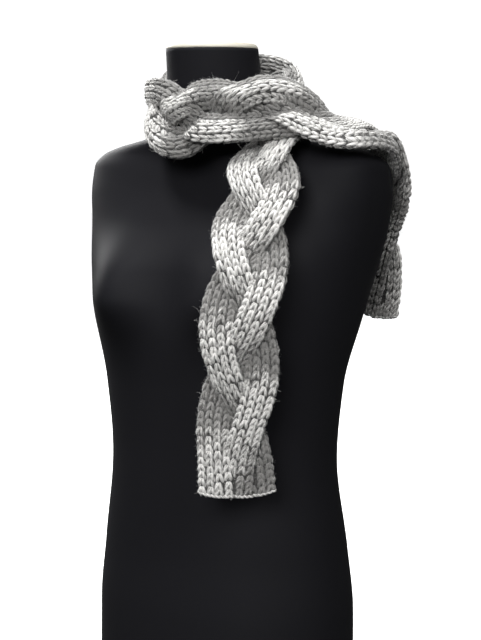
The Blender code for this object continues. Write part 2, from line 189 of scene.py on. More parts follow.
# ---- scarf: the knit ----
CORE_HALF_WIDTH = 0.0182      # section of a strand's core, on which the yarn legs lie
CORE_CROWN = 0.0044
CORE_BELLY = 0.0028
CORE_SQUARENESS = 2.1
SECTION_SAMPLES = 2880
KNIT_COLUMNS = 8              # round a strand, four to a face
ROW_SLANT = 0.90              # how far rows turn square to a slanting strand, from 0 to 1
CORE_STEP = 0.004             # length between a core's rings, and points round each
CORE_POINTS = 40
BURIED = 0.72                 # a stitch within this squared radius of another strand isn't made
HEM_ROUND = 0.008             # the hems' corners draw back this much this far from the strip's middle,
HEM_SPREAD = 0.045
HEM_FADE = 0.03               # and the rows behind them less and less over this length
WANDERS = ((0.14, 0.083, 1.0), (0.12, 0.031, 1.7))    # waves in the rows: share of a row, length, phase
STRAND_PHASE = 6.0            # phase from one strand to the next, and for each metre round its core
ROUND_PHASE = 800.0

# A yarn leg runs from t = 0 at the stitch's point to t = 1 at its tail.
LEG_WAY = np.array((0.0, 0.06, 0.26, 0.50, 0.74, 0.94, 1.0))
YARN_SIDES = 6
YARN_LEAN = (0, 0, 1)         # the upper side of its rings looks this way, straight out of the core
LEG_START = 0.70              # rows from the stitch's middle on to the point, and its length in rows
LEG_LENGTH = 1.48
LEG_GAP = 0.0008              # half the gap between two legs' middles at the point, and what they spread
LEG_SPREAD = 0.0032
LEG_ARCH = 0.0012             # how far the middle stands out and the tail sinks in
LEG_SINK = 0.0030
LEG_BLUNTNESS = 0.13          # thickness at t is that of a sine's arch less this much at each end
STITCH_SHIFT = 0.0005         # spread of stitches' places along their column
LEG_SHIFT = 0.00025           # spread of single legs' places along it, and of stitches' across it
OUT_SHIFT = 0.0002            # spread of both outwards
LENGTH_UNEVENNESS = 0.05
YARN_UNEVENNESS = 0.07
HEM_LEG_SPAN = 0.0062         # a leg of a hem's edge: reach across the ribs, height, share of thickness
HEM_LEG_ARCH = 0.0008
HEM_LEG_YARN = 0.78

# Tone of a leg, from 0 dark to 1 pale, with painted shade taken off it in the braid's hollows and the
# band's fold.
STITCH_TONE = 0.68
HOLLOW_PAINTED_SHADE = 0.75             # painted shade: how much darker at the bottom of the braid's hollows
SUNK_HEIGHT = 0.002           # height of those bottoms and of the crests over the cloth's middle
CREST_HEIGHT = 0.010
FOLD_PAINTED_SHADE = 0.9              # painted shade: how much darker at the bottom of the fold between the band's two rolls
HEM_TONE = 0.62
CORE_PAINTED_SHADE = 0.14           # painted shade: colour of the cores, seen only between stitches, as a share of the yarn's

# Loose fibres, curled (halo) and short (fuzz).
HALO_WAY = np.array((0.0, 0.04, 0.36, 0.70, 0.96, 1.0))
HALO_SIDES = 3
HALO_CURL = 0.55
HALO_WAVE = 0.28
FIBRE_RADIUS = 0.00008
FIBRE_SCATTER = 0.004         # roots lie this far or less from the middle of a stitch
FUZZ_SCATTER = 0.0045
FUZZ_LENGTHS = (0.15, 0.45)   # shortest and longest, as shares of the longest curled fibre
ODD_WAY = (0.31, 0.87, 0.38)  # a direction that no fibre follows closely

# ---- studio ----
CIRCLE_POINTS = 96
FLOOR_RADIUS = 14
WALL_LIFTS = (-0.2, 2.0, 6.0, 10.0)
WALL_RADII = (13.5, 13.5, 12.0, 7.0)
LIGHTS = {                    # place and size of each soft light
    "key": ((-1.15, -2.0, 5.4), 1.5),
    "top": ((0.3, 0.2, 5.2), 1.6),
    "front": ((1.3, -3.4, 1.9), 1.5),
    "side": ((3.2, -1.6, 2.4), 1.6),
    "rim": ((-2.3, 1.2, 1.7), 1.6),
}
LIGHTS_AIM = Vector((0.05, -0.05, 0.52))
CAMERA_BEARING = np.radians(35)    # round to the form's left
CAMERA_DISTANCE = 2.2
CAMERA_HEIGHT = 0.66
AIM_ASIDE = 0.021             # how far to the right of the form's axis the camera looks, and how high
AIM_HEIGHT = 0.435


# ------------------------------------------------------------------ settings

class ScarfSettings(PropertyGroup):
    """Sizes and colours of the knit."""

    row_height: FloatProperty(
        name="Row height", description="Length of one knitted row along the strip",
        default=0.0086, min=0.004, max=0.02, unit="LENGTH")
    yarn_radius: FloatProperty(
        name="Yarn radius", description="Half the thickness of a yarn leg at its plumpest",
        default=0.00215, min=0.0008, max=0.004, unit="LENGTH")
    light_colour: FloatVectorProperty(
        name="Light fibres", description="Colour of the pale fibres in the yarn",
        default=(0.72, 0.71, 0.69), min=0, max=1, size=3, subtype="COLOR")
    dark_colour: FloatVectorProperty(
        name="Dark fibres", description="Colour of the dark fibres in the yarn",
        default=(0.22, 0.216, 0.208), min=0, max=1, size=3, subtype="COLOR")
    halo_length: FloatProperty(
        name="Halo length", description="Length of the longest loose fibres",
        default=0.011, min=0.0, max=0.03, unit="LENGTH")
    halo_count: IntProperty(
        name="Halo fibres", description="Number of loose fibres over the whole scarf",
        default=6000, min=0, max=20000)
    fuzz_count: IntProperty(
        name="Fuzz fibres", description="Number of short fibres over the whole scarf",
        default=62000, min=0, max=80000)
    seed: IntProperty(
        name="Seed", description="Start of the small differences between stitches",
        default=7, min=0)


class FormSettings(PropertyGroup):
    """Cover and cap of the dress form."""

    cover_colour: FloatVectorProperty(
        name="Cover", description="Colour of the stretch jersey over the form",
        default=(0.010, 0.010, 0.0118), min=0, max=1, size=3, subtype="COLOR")
    cap_colour: FloatVectorProperty(
        name="Neck cap", description="Colour of the painted cap on the neck",
        default=(0.62, 0.59, 0.50), min=0, max=1, size=3, subtype="COLOR")
    cap_height: FloatProperty(
        name="Cap height", description="Depth of the cap on top of the neck",
        default=0.009, min=0.004, max=0.03, unit="LENGTH")


class StageSettings(PropertyGroup):
    """Floor, light and camera."""

    floor_colour: FloatVectorProperty(
        name="Floor", description="Colour of the floor and backdrop",
        default=(0.86, 0.86, 0.86), min=0, max=1, size=3, subtype="COLOR")
    key_power: FloatProperty(
        name="Key light", description="Power of the soft light from high on the form's right",
        default=270.0, min=0, subtype="POWER")
    top_power: FloatProperty(
        name="Top light", description="Power of the soft light from straight above",
        default=120.0, min=0, subtype="POWER")
    front_power: FloatProperty(
        name="Front light", description="Power of the soft light from beside the camera",
        default=94.0, min=0, subtype="POWER")
    side_power: FloatProperty(
        name="Side light", description="Power of the weak light from the form's left",
        default=55.0, min=0, subtype="POWER")
    rim_power: FloatProperty(
        name="Rim light", description="Power of the soft light from behind on the form's right",
        default=80.0, min=0, subtype="POWER")
    room_light: FloatProperty(
        name="Room light", description="Strength of the light from all round",
        default=0.06, min=0)
    lens: FloatProperty(
        name="Lens", description="Focal length of the camera in millimetres",
        default=100.76, min=20, max=300)


# ------------------------------------------------------------------ whole-array geometry

def unit(vectors):
    """Vectors scaled to length 1: v / |v|."""
    return vectors / np.maximum(np.linalg.norm(vectors, axis=-1), 1e-12)[..., None]


def running_length(points):
    """Distance of each point from the first, summed along the line through them."""
    steps = np.linalg.norm(np.diff(points, axis=0), axis=1)
    return np.concatenate(((0,), np.cumsum(steps)))


def soften(grid, rounds, axis):
    """Repeated mean of each value (half) and its two neighbours (a quarter each); ends repeat."""
    grid = np.moveaxis(grid, axis, 0)
    for _ in range(rounds):
        below = np.concatenate((grid[:1], grid[:-1]))
        above = np.concatenate((grid[1:], grid[-1:]))
        grid = 0.5 * grid + 0.25 * (below + above)
    return np.moveaxis(grid, 0, axis)


def monotone_slopes(x, y):
    """Slopes at a table's rows: the weighted harmonic mean of the rises on both sides, 0 at a peak."""
    run = np.diff(x)[:, None]
    rise = np.diff(y, axis=0) / run
    weight_low = 2 * run[1:] + run[:-1]
    weight_high = run[1:] + 2 * run[:-1]
    same_way = rise[1:] * rise[:-1] > 0
    below = np.where(same_way, rise[:-1], 1)
    above = np.where(same_way, rise[1:], 1)
    middle = (weight_low + weight_high) / (weight_low / below + weight_high / above)
    return np.vstack((rise[:1], np.where(same_way, middle, 0), rise[-1:]))


FORM_SLOPES = monotone_slopes(FORM["height"], FORM_ROWS[:, 1:])


def form_sizes(height):
    """Sizes of the torso at each height: cubic pieces through the table's rows with the slopes above."""
    levels = FORM["height"]
    sizes = FORM_ROWS[:, 1:]
    height = np.clip(height, levels[0], levels[-1])
    row = np.clip(np.searchsorted(levels, height, side="right") - 1, 0, len(levels) - 2)
    step = levels[row + 1] - levels[row]
    t = ((height - levels[row]) / step)[..., None]
    step = step[..., None]
    low = (2 * t**3 - 3 * t**2 + 1) * sizes[row] + (t**3 - 2 * t**2 + t) * step * FORM_SLOPES[row]
    high = (3 * t**2 - 2 * t**3) * sizes[row + 1] + (t**3 - t**2) * step * FORM_SLOPES[row + 1]
    return np.moveaxis(low + high, -1, 0)


def bust_out(x, height, half_width, squareness):
    """Breasts: depth times exp(-(sideways / spread)^2 - (rise / reach)^2), fading to 0 at the sides."""
    rise = height - BUST_HEIGHT
    reach = np.where(rise > 0, BUST_RISE, BUST_DROP)
    mound = np.exp(-((np.abs(x) - BUST_X) / BUST_SPREAD)**2 - (rise / reach)**2)
    fade = np.sqrt(np.clip(1 - np.abs(x / half_width)**squareness, 0, 1))
    return BUST_OUT * mound * fade


def form_points(angle, height):
    """Torso: a superellipse at each height, its depth different in front and behind, plus the breasts."""
    half_width, front, back, centre, squareness = form_sizes(height)
    across = np.sin(angle)
    along = np.cos(angle)
    x = half_width * np.sign(across) * np.abs(across)**(2 / squareness)
    depth = np.where(along > 0, front, back)
    y = centre - depth * np.sign(along) * np.abs(along)**(2 / squareness)
    y = np.where(along > 0, y - bust_out(x, height, half_width, squareness), y)
    return np.stack((x, y, height + 0 * x), axis=-1)


def form_level_set(points):
    """Rough signed distance from the torso: (superellipse radius - 1) times the smaller half axis."""
    x = points[..., 0]
    height = points[..., 2]
    half_width, front, back, centre, squareness = form_sizes(height)
    y = points[..., 1]
    y = np.where(y < centre, y + bust_out(x, height, half_width, squareness), y)
    depth = np.where(y < centre, front, back)
    across = np.abs(x / half_width)**squareness
    along = np.abs((y - centre) / depth)**squareness
    radius = (across + along)**(1 / squareness)
    return np.maximum((radius - 1) * np.minimum(half_width, depth), height - FORM_HEIGHT)


def form_gap(points):
    """Distance from the torso and the way out of it: the level set over the length of its slope."""
    nudges = SLOPE_NUDGE * np.eye(3)
    rises = [form_level_set(points + nudge) - form_level_set(points - nudge) for nudge in nudges]
    slope = np.stack(rises, axis=-1) / (2 * SLOPE_NUDGE)
    steepness = np.maximum(np.linalg.norm(slope, axis=-1), LEAST_SLOPE)
    return form_level_set(points) / steepness, slope / steepness[..., None]


def smooth_curve(x, rows, at):
    """Natural cubic spline through the rows of a table, read at the given distances."""
    count = len(x)
    step = np.diff(x)
    matrix = np.eye(count)
    bend = np.zeros_like(rows)
    for i in range(1, count - 1):
        matrix[i, i - 1:i + 2] = (step[i - 1], 2 * (step[i - 1] + step[i]), step[i])
        bend[i] = 6 * ((rows[i + 1] - rows[i]) / step[i] - (rows[i] - rows[i - 1]) / step[i - 1])
    curvature = np.linalg.solve(matrix, bend)
    i = np.clip(np.searchsorted(x, at, side="right") - 1, 0, count - 2)
    span = step[i][:, None]
    left = ((x[i + 1] - at) / step[i])[:, None]
    right = 1 - left
    arc = ((left**3 - left) * curvature[i] + (right**3 - right) * curvature[i + 1]) * span**2 / 6
    return left * rows[i] + right * rows[i + 1] + arc


def scarf_route():
    """The strip's route as fine steps: distances, middles, side directions and spreads."""
    rows = SCARF_ROUTE.copy()
    turning = SCARF_COLUMNS.index("bearing")
    rows[:, turning] = np.degrees(np.unwrap(np.radians(rows[:, turning])))
    chord = running_length(rows[:, :3])
    even = np.linspace(0, chord[-1], ROUTE_SAMPLES)
    fine = dict(zip(SCARF_COLUMNS, smooth_curve(chord, rows, even).T))
    middle = np.stack((fine["x"], fine["y"], fine["z"]), axis=-1)
    distance = running_length(middle)
    forward = unit(np.gradient(middle, distance, axis=0))
    bearing = np.radians(fine["bearing"])
    tilt = np.radians(fine["tilt"])
    level = np.cos(tilt)
    face = np.stack((np.sin(bearing) * level, -np.cos(bearing) * level, np.sin(tilt)), axis=-1)
    return distance, middle, unit(np.cross(forward, face)), fine["spread"]


def roll(along, across):
    """How deep the cloth is folded: depth * cos(pi * u)^2, where u is the way across from the fold.

    It is less past the lower roll, and eased in and out along the strip with tanh.
    """
    window = np.tanh((along - ROLL_FROM) / ROLL_EASE) - np.tanh((along - ROLL_TO) / ROLL_EASE)
    off_centre = across - ROLL_CENTRE
    share = np.where(off_centre > 0.5, ROLL_UNDER, 1)
    return ROLL_DEPTH / 2 * window * share * np.cos(np.pi * off_centre)**2


def push_clear(grid, clearance):
    """The move that takes each point of the cloth's middle out to its clearance from the form."""
    gap, away = form_gap(grid)
    return np.clip(clearance - gap, 0, None)[..., None] * away


def drape(grid, across):
    """Moves the cloth clear of the form: each round adds the move still needed and softens all of it."""
    clearance = FORM_CLEARANCE + (EDGE_CLEARANCE - FORM_CLEARANCE) * across**EDGE_EASE
    shift = np.zeros_like(grid)
    for _ in range(DRAPE_ROUNDS):
        shift = shift + push_clear(grid + shift, clearance)
        shift = soften(soften(shift, SHIFT_SOFTENING, 0), SHIFT_SOFTENING, 1)
    return grid + shift + push_clear(grid + shift, clearance)


class Strip:
    """The scarf's cloth: its middle surface draped over the form, in steps along it and across it."""

    def __init__(self):
        distance, middle, side, spread = scarf_route()
        self.length = distance[-1]
        at = np.linspace(0, self.length, int(round(self.length / FINE_STEP)) + 1)
        self.step = at[1]
        middle = np.stack([np.interp(at, distance, middle[:, i]) for i in range(3)], axis=-1)
        side = unit(np.stack([np.interp(at, distance, side[:, i]) for i in range(3)], axis=-1))
        spread = np.interp(at, distance, spread)[:, None]
        places = self.strands(at[:, None], np.arange(STRANDS))[0]
        self.left = (places - STRAND_HALF_WIDTH).min(axis=1)
        self.right = (places + STRAND_HALF_WIDTH).max(axis=1)
        even = np.linspace(-1, 1, POINTS_ACROSS)
        self.across = EDGE_CROWDING * np.sin(even * np.pi / 2) + (1 - EDGE_CROWDING) * even
        reach = (self.right - self.left)[:, None] / 2
        offset = (self.left + self.right)[:, None] / 2 + self.across * reach
        flat = drape(middle[:, None] + side[:, None] * (offset * spread)[..., None], self.across)
        face = unit(np.cross(np.gradient(flat, axis=1), np.gradient(flat, axis=0)))
        self.face = unit(soften(soften(face, FACE_SOFTENING_ALONG, 0), FACE_SOFTENING_ACROSS, 1))
        self.cloth = drape(flat - self.face * roll(at[:, None], self.across)[..., None], self.across)

    def strands(self, along, strand):
        """Side place and lift of a strand: swing * sin(turn) and lift * sin(2 * turn).

        The turn grows by a full circle in each repeat and is held still over the plain length at a hem.
        """
        ease = HEM_PLAIN / 2
        start = np.log1p(np.exp((along - HEM_PLAIN) / ease)) * ease
        past_end = np.log1p(np.exp((along - self.length + HEM_PLAIN) / ease)) * ease
        lead = smooth_curve(BRAID_LEAD[:, 0], BRAID_LEAD[:, 1:], np.ravel(along))[:, 0]
        lead = lead.reshape(np.shape(along))
        turns = (start - past_end + HEM_PLAIN) / BRAID_REPEAT + lead + strand / STRANDS
        turn = 2 * np.pi * turns + BRAID_START
        return STRAND_SWING * np.sin(turn), STRAND_RISE + STRAND_LIFT * np.sin(2 * turn)

    def locate(self, along, offset):
        """Step along, way into it, and place across between the strip's edges, from -1 to 1."""
        row = along / self.step
        i = np.clip(row.astype(int), 0, len(self.left) - 2)
        f = row - i
        low = self.left[i] * (1 - f) + self.left[i + 1] * f
        high = self.right[i] * (1 - f) + self.right[i + 1] * f
        return i, f, (2 * offset - low - high) / (high - low)

    def place(self, along, offset, height):
        """Points in space from distances along, offsets across and heights over the cloth's middle."""
        i, f, share = self.locate(along, offset)
        column = np.interp(share, self.across, np.arange(POINTS_ACROSS))
        j = np.minimum(column.astype(int), POINTS_ACROSS - 2)
        g = column - j + (share - np.clip(share, -1, 1)) / (self.across[-1] - self.across[-2])
        weights = ((1 - f) * (1 - g), (1 - f) * g, f * (1 - g), f * g)
        corners = ((i, j), (i, j + 1), (i + 1, j), (i + 1, j + 1))
        middle = sum(weight[..., None] * self.cloth[corner] for weight, corner in zip(weights, corners))
        face = sum(weight[..., None] * self.face[corner] for weight, corner in zip(weights, corners))
        return middle + unit(face) * height[..., None]


class Section:
    """Outline of a strand's core: |x / half width|^n + |z / crown or belly|^n = 1, by its length."""

    def __init__(self):
        turn = np.linspace(0, 2 * np.pi, SECTION_SAMPLES + 1)
        power = 2 / CORE_SQUARENESS
        x = CORE_HALF_WIDTH * np.sign(np.sin(turn)) * np.abs(np.sin(turn))**power
        depth = np.where(np.cos(turn) > 0, CORE_CROWN, CORE_BELLY)
        z = depth * np.sign(np.cos(turn)) * np.abs(np.cos(turn))**power
        self.points = np.stack((x, z), axis=-1)
        self.arc = running_length(self.points)
        self.perimeter = self.arc[-1]
        ahead = unit(np.roll(self.points[:-1], -1, 0) - np.roll(self.points[:-1], 1, 0))
        out = np.stack((-ahead[:, 1], ahead[:, 0]), axis=-1)
        self.out = np.concatenate((out, out[:1]))

    def read(self, arc, out):
        """Offset and height from the strand's middle, at a length round the core and out of it."""
        arc = np.mod(arc, self.perimeter)
        x, z = (np.interp(arc, self.arc, self.points[:, i]) for i in range(2))
        out_x, out_z = (np.interp(arc, self.arc, self.out[:, i]) for i in range(2))
        return x + out_x * out, z + out_z * out


class Knit:
    """The strip and its strands' section together: places yarn on the scarf."""

    def __init__(self):
        self.strip = Strip()
        self.section = Section()

    def local(self, along, strand, arc, out):
        """Strip measures of points given by a strand's own: rows turn part of the way square to it."""
        offset, height = self.section.read(arc, out)
        nudge = FINE_STEP
        here = self.strip.strands(along - nudge, strand)[0]
        ahead = self.strip.strands(along + nudge, strand)[0]
        along = along - ROW_SLANT * offset * (ahead - here) / (2 * nudge)
        place, lift = self.strip.strands(along, strand)
        across = place + offset
        return along + self.hem_curve(along, across), across, lift + height

    def hem_curve(self, along, across):
        """How far the hems' corners draw back: round * fade * |across / spread|^3.

        The fade is exp(-distance / length) from the front hem less the same from the back hem.
        """
        near = np.exp(-along / HEM_FADE) - np.exp((along - self.strip.length) / HEM_FADE)
        return HEM_ROUND * near * np.abs(across / HEM_SPREAD)**3

    def place(self, strand, points):
        """Points in space from (along, length round the core, out of it) of each strand."""
        return self.strip.place(*self.local(points[..., 0], strand, points[..., 1], points[..., 2]))

    def buried(self, along, strand, arc, out):
        """True inside another strand: (across / half width)^2 + (through / half thickness)^2 < BURIED."""
        along, offset, height = self.local(along, strand, arc, out)
        inside = np.zeros(along.shape, bool)
        for other in range(STRANDS):
            place, lift = self.strip.strands(along, other)
            across = (offset - place) / STRAND_HALF_WIDTH
            through = (height - lift) / STRAND_HALF_THICKNESS
            inside |= (strand != other) & (across**2 + through**2 < BURIED)
        return inside


def tubes(paths, radii, sides, lean):
    """Closed tubes: each inner point of a path carries a ring round its direction, each end closes it.

    A ring is path + radius * (cos(turn) * flat + sin(turn) * up), where flat is square to the path's
    direction and to the lean, and up is square to both.
    """
    direction = unit(np.gradient(paths, axis=1))[:, 1:-1, None]
    flat = unit(np.cross(lean, direction))
    up = np.cross(direction, flat)
    turn = (np.arange(sides) * 2 * np.pi / sides)[:, None]
    rings = paths[:, 1:-1, None] + radii[..., None, None] * (np.cos(turn) * flat + np.sin(turn) * up)
    return np.concatenate((paths[:, :1], rings.reshape(len(paths), -1, 3), paths[:, -1:]), axis=1)


def tube_faces(way, sides):
    """Faces of one closed tube and, for each of their corners, (turn round it, way along it)."""
    faces = []
    corners = []
    rings = len(way) - 2
    last = rings * sides + 1
    for side in range(sides):
        after = (side + 1) % sides
        low, high = side / sides, (side + 1) / sides
        faces.append((1 + side, 1 + after, 0))
        corners.append(((low, way[1]), (high, way[1]), (low, way[0])))
        for ring in range(rings - 1):
            here = 1 + ring * sides
            ahead = here + sides
            faces.append((ahead + side, ahead + after, here + after, here + side))
            near, far = way[ring + 1], way[ring + 2]
            corners.append(((low, far), (high, far), (high, near), (low, near)))
        here = last - sides
        faces.append((last, here + after, here + side))
        corners.append(((low, way[-1]), (high, way[-2]), (low, way[-2])))
    return faces, corners


def grid_faces(rows, points, flip=False):
    """Quads between neighbouring closed rings, and one face over each end."""
    index = np.arange(rows * points).reshape(rows, points)
    here, ahead = index[:-1], index[1:]
    quads = np.stack((here, np.roll(here, -1, 1), np.roll(ahead, -1, 1), ahead), axis=-1).reshape(-1, 4)
    faces = quads.tolist() + [index[0, ::-1].tolist(), index[-1].tolist()]
    return [face[::-1] for face in faces] if flip else faces


def add_piece(name, points, faces, material, corners=None, tone=None):
    """Adds one mesh object with smooth faces, and its material, face corners' UVs and points' tones."""
    mesh = bpy.data.meshes.new(name)
    mesh.from_pydata(points.reshape(-1, 3), [], faces)
    mesh.materials.append(material)
    mesh.shade_smooth()
    if corners is not None:
        layer = mesh.uv_layers.new(name="yarn")
        layer.uv.foreach_set("vector", np.asarray(corners, dtype=np.float32).ravel())
    if tone is not None:
        attribute = mesh.attributes.new("tone", "FLOAT", "POINT")
        attribute.data.foreach_set("value", np.asarray(tone, dtype=np.float32).ravel())
    piece = bpy.data.objects.new(name, mesh)
    bpy.context.scene.collection.objects.link(piece)
    return piece


def add_tubes(name, points, way, sides, material, tone):
    """Adds many closed tubes as one piece, the same faces repeated for each."""
    faces, corners = tube_faces(way, sides)
    count, size = points.shape[:2]
    firsts = range(0, count * size, size)
    faces = [tuple(point + first for point in face) for first in firsts for face in faces]
    corners = np.tile(np.concatenate([np.array(corner) for corner in corners]), (count, 1))
    return add_piece(name, points, faces, material, corners, np.repeat(tone, size))


# ------------------------------------------------------------------ materials

class Wire:
    """An output in a material.  Arithmetic on it adds Math nodes, so 1 - mask works."""

    def __init__(self, nodes, output):
        self.nodes = nodes
        self.output = output

    def maths(self, operation, *values):
        """A Math node on values and wires."""
        return self.nodes.add("ShaderNodeMath", dict(enumerate(values)), operation=operation)

    def __add__(self, other):
        return self.maths("ADD", self, other)

    def __sub__(self, other):
        return self.maths("SUBTRACT", self, other)

    def __rsub__(self, other):
        return self.maths("SUBTRACT", other, self)

    def __mul__(self, other):
        return self.maths("MULTIPLY", self, other)

    def __pow__(self, other):
        return self.maths("POWER", self, other)

    __radd__ = __add__
    __rmul__ = __mul__

    def __abs__(self):
        return self.maths("ABSOLUTE", self)

    def sine(self):
        return self.maths("SINE", self)

    def beside(self, output):
        """Another output of the same node."""
        return Wire(self.nodes, self.output.node.outputs[output])


def opaque(colour, share=1.0):
    """A colour, or a share of it, with its alpha."""
    return (*(share * value for value in colour), 1)


class Nodes:
    """A new material's node tree, with one Principled shader."""

    def __init__(self, name):
        self.material = bpy.data.materials.new(name)
        self.material.use_nodes = True
        self.tree = self.material.node_tree
        self.shader = self.tree.nodes["Principled BSDF"]

    def add(self, kind, inputs=None, output=0, **settings):
        """Adds any node: its settings first, then its inputs' values or links."""
        node = self.tree.nodes.new(kind)
        for name, value in settings.items():
            setattr(node, name, value)
        self.join(node, inputs or {})
        return Wire(self, node.outputs[output])

    def join(self, node, inputs):
        """Sets or links inputs of a node, by name or number."""
        for socket, value in inputs.items():
            if isinstance(value, Wire):
                self.tree.links.new(value.output, node.inputs[socket])
            else:
                node.inputs[socket].default_value = value

    def noise(self, place, scale, detail, roughness=0.5):
        """Cloudy noise: how many clouds to a metre, their fine detail and its roughness."""
        inputs = {"Vector": place, "Scale": scale, "Detail": detail, "Roughness": roughness}
        return self.add("ShaderNodeTexNoise", inputs)

    def bump(self, height, strength, distance):
        """A normal from a height, whose unit is worth a distance in metres."""
        return self.add("ShaderNodeBump", {"Height": height, "Strength": strength, "Distance": distance})

    def mix(self, share, low, high):
        """Colour between two others: low + share * (high - low)."""
        return self.add("ShaderNodeMix", {0: share, 6: low, 7: high}, output=2, data_type="RGBA")

    def finish(self, **inputs):
        """Feeds the shader; its sockets' names have underscores for spaces."""
        self.join(self.shader, {name.replace("_", " "): value for name, value in inputs.items()})
        return self.material


def yarn_material(name, settings, shade, ply):
    """Heathered wool: pale and dark fibres streaked along the yarn, with plies twisted round each leg,
    and painted shade darker in the grooves between plies and at each leg's ends.
    """
    nodes = Nodes(name)
    place = nodes.add("ShaderNodeTexCoord", output="Object")
    fibres = nodes.noise(place, 650, 3, 0.65)
    patches = nodes.noise(place, 95, 2)
    mottle_and_shade = 2.9 * (fibres - 0.5) + 1.1 * (patches - 0.5) + 0.60
    height = 0.9 * fibres
    if ply:
        yarn = nodes.add("ShaderNodeUVMap", uv_map="yarn")
        turn = nodes.add("ShaderNodeSeparateXYZ", {0: yarn})
        way = turn.beside(1)
        # the tone attribute holds random tone and, on stitches, painted shade from the braid's hollows
        # and the band's fold
        tone = nodes.add("ShaderNodeAttribute", output="Fac", attribute_name="tone")
        plies = abs((np.pi * (3 * turn + 1.7 * way)).sine())
        height = height + 0.9 * plies
        # painted shade: darker in the grooves between plies and at each leg's two ends, plus the
        # stitches' tone
        mottle_and_shade = mottle_and_shade + 0.9 * (plies - 0.65) + 1.9 * (tone - 0.5) - 0.9 * abs(way - 0.45) ** 2
    share = nodes.add("ShaderNodeClamp", {0: mottle_and_shade})
    normal = nodes.bump(height, 0.75, 0.00045)
    colour = nodes.mix(share, opaque(settings.dark_colour, shade), opaque(settings.light_colour, shade))
    return nodes.finish(Base_Color=colour, Roughness=0.92, Normal=normal, Sheen_Weight=0.35,
                        Sheen_Roughness=0.45, Specular_IOR_Level=0.2)


def halo_material(settings):
    """Loose fibres: one pale tone each, from the point attribute."""
    nodes = Nodes("halo_fibre")
    tone = nodes.add("ShaderNodeAttribute", output="Fac", attribute_name="tone")
    colour = nodes.mix(tone, opaque(settings.dark_colour), opaque(settings.light_colour))
    return nodes.finish(Base_Color=colour, Roughness=0.8, Sheen_Weight=0.3, Specular_IOR_Level=0.3)


def cover_material(settings):
    """Matt stretch jersey: fine wales round the form, a little grain and unevenness."""
    nodes = Nodes("black_jersey")
    place = nodes.add("ShaderNodeTexCoord", output="Object")
    grain = nodes.noise(place, 1500, 2, 0.6)
    cloud = nodes.noise(place, 7, 3)
    yarn = nodes.add("ShaderNodeUVMap", uv_map="yarn")
    turn = nodes.add("ShaderNodeSeparateXYZ", {0: yarn})
    wales = abs((np.pi * 900 * turn).sine())
    roughness = 0.56 + 0.16 * (cloud - 0.5) + 0.10 * (grain - 0.5)
    normal = nodes.bump(0.5 * wales + grain, 0.35, 0.00012)
    colour = nodes.mix(grain, opaque(settings.cover_colour, 0.75), opaque(settings.cover_colour, 1.5))
    return nodes.finish(Base_Color=colour, Roughness=roughness, Normal=normal, Sheen_Weight=0.01,
                        Sheen_Roughness=0.35, Specular_IOR_Level=0.06)


def cap_material(settings):
    """Painted wood: a smooth pale paint with faint brushing and soft wear."""
    nodes = Nodes("cream_paint")
    place = nodes.add("ShaderNodeTexCoord", output="Object")
    stretched = nodes.add("ShaderNodeMapping", {"Vector": place, "Scale": (40, 900, 300)})
    brushed = nodes.noise(stretched, 1, 3)
    blotches = nodes.noise(place, 38, 4)
    share = nodes.add("ShaderNodeClamp", {0: 0.55 + 1.2 * (blotches - 0.5) + 0.5 * (brushed - 0.5)})
    normal = nodes.bump(brushed, 0.25, 0.0002)
    colour = nodes.mix(share, opaque(settings.cap_colour, 0.80), opaque(settings.cap_colour))
    return nodes.finish(Base_Color=colour, Roughness=0.38 + 0.2 * blotches, Normal=normal)


def plain_material(name, colour, glow):
    """A plain matt studio surface that also gives a little light of its own."""
    return Nodes(name).finish(Base_Color=opaque(colour), Roughness=0.9, Emission_Color=(1, 1, 1, 1),
                              Emission_Strength=glow)


# ------------------------------------------------------------------ pieces of the dress form

def form_rings():
    """Rings of the torso from the rounded edge of its flat base to the rounded edge of its flat top."""
    turns = np.linspace(0, np.pi / 2, EDGE_RINGS + 1)
    angles = np.arange(FORM_SIDES) * 2 * np.pi / FORM_SIDES
    base_levels = BASE_EDGE * (1 - np.cos(turns[:-1]))
    top_levels = FORM_HEIGHT - NECK_EDGE * (1 - np.sin(turns[1:]))
    side_levels = np.linspace(BASE_EDGE, FORM_HEIGHT - NECK_EDGE, FORM_LEVELS)
    levels = np.concatenate((base_levels, side_levels, top_levels))
    angle, level = np.meshgrid(angles, levels)
    rings = form_points(angle, level)
    rings[..., 2] = level
    inwards = np.concatenate((
        BASE_EDGE / FORM["half_width"][0] * (1 - np.sin(turns[:-1])), np.zeros(FORM_LEVELS),
        NECK_EDGE / FORM["half_width"][-1] * (1 - np.cos(turns[1:]))))
    centres = np.stack((0 * levels, form_sizes(levels)[3]), axis=-1)[:, None]
    rings[..., :2] = centres + (rings[..., :2] - centres) * (1 - inwards)[:, None, None]
    return rings


def ring_corners(rows, points):
    """UVs of the faces between rings, once round and once up, and zeros for the two end faces."""
    side, row = np.meshgrid(np.arange(points) / points, np.arange(rows - 1) / (rows - 1))
    step = np.array(((0, 0), (1, 0), (1, 1), (0, 1))) / (points, rows - 1)
    quads = np.stack((side, row), axis=-1)[:, :, None] + step
    return np.concatenate((quads.reshape(-1, 2), np.zeros((2 * points, 2))))


# ------------------------------------------------------------------ pieces of the scarf

def core_points(knit, start, end):
    """Cores of the three strands of a stretch: the section carried along each, one ring at each step."""
    along = np.linspace(start, end, int(round((end - start) / CORE_STEP)) + 1)
    arc = np.arange(CORE_POINTS) * knit.section.perimeter / CORE_POINTS
    grids = []
    for strand in range(STRANDS):
        row, length = np.meshgrid(along, arc, indexing="ij")
        grids.append(knit.place(strand, np.stack((row, length, 0 * row), axis=-1)))
    return np.array(grids)


